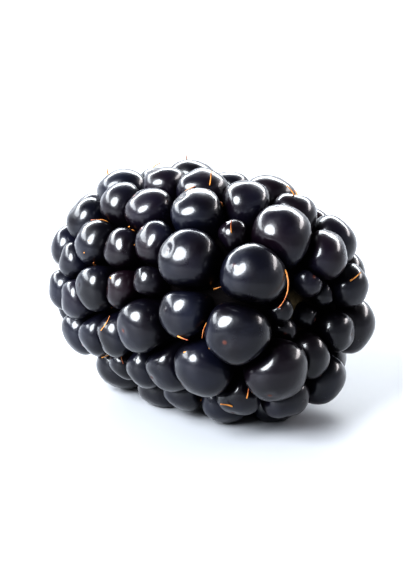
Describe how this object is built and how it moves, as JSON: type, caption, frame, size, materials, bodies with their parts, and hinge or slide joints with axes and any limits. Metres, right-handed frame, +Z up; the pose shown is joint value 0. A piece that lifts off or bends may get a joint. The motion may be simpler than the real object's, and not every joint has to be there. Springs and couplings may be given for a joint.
{
  "type": "bramble berry",
  "caption": "Ripe black bramble berry as picked, an oblong cluster of glossy drupelets lying on its side, with a hollow at the stem end.",
  "frame": {"origin": "on the surface that the berry rests on, below the middle of its bounding box", "axes": "+X along the berry from its tip to its stem end, +Z up, away from the surface that it rests on"},
  "size_m": [0.0306, 0.0222, 0.021],
  "materials": {
    "drupelet_skin": "glossy, taut, near-black purple fruit skin over soft juicy flesh",
    "core": "dull, fibrous, pale straw-green core",
    "dry_styles": "dry, golden to red-brown hairs"
  },
  "bodies": {
    "root": {"berry": "drupelet_skin"}
  },
  "joints": []
}
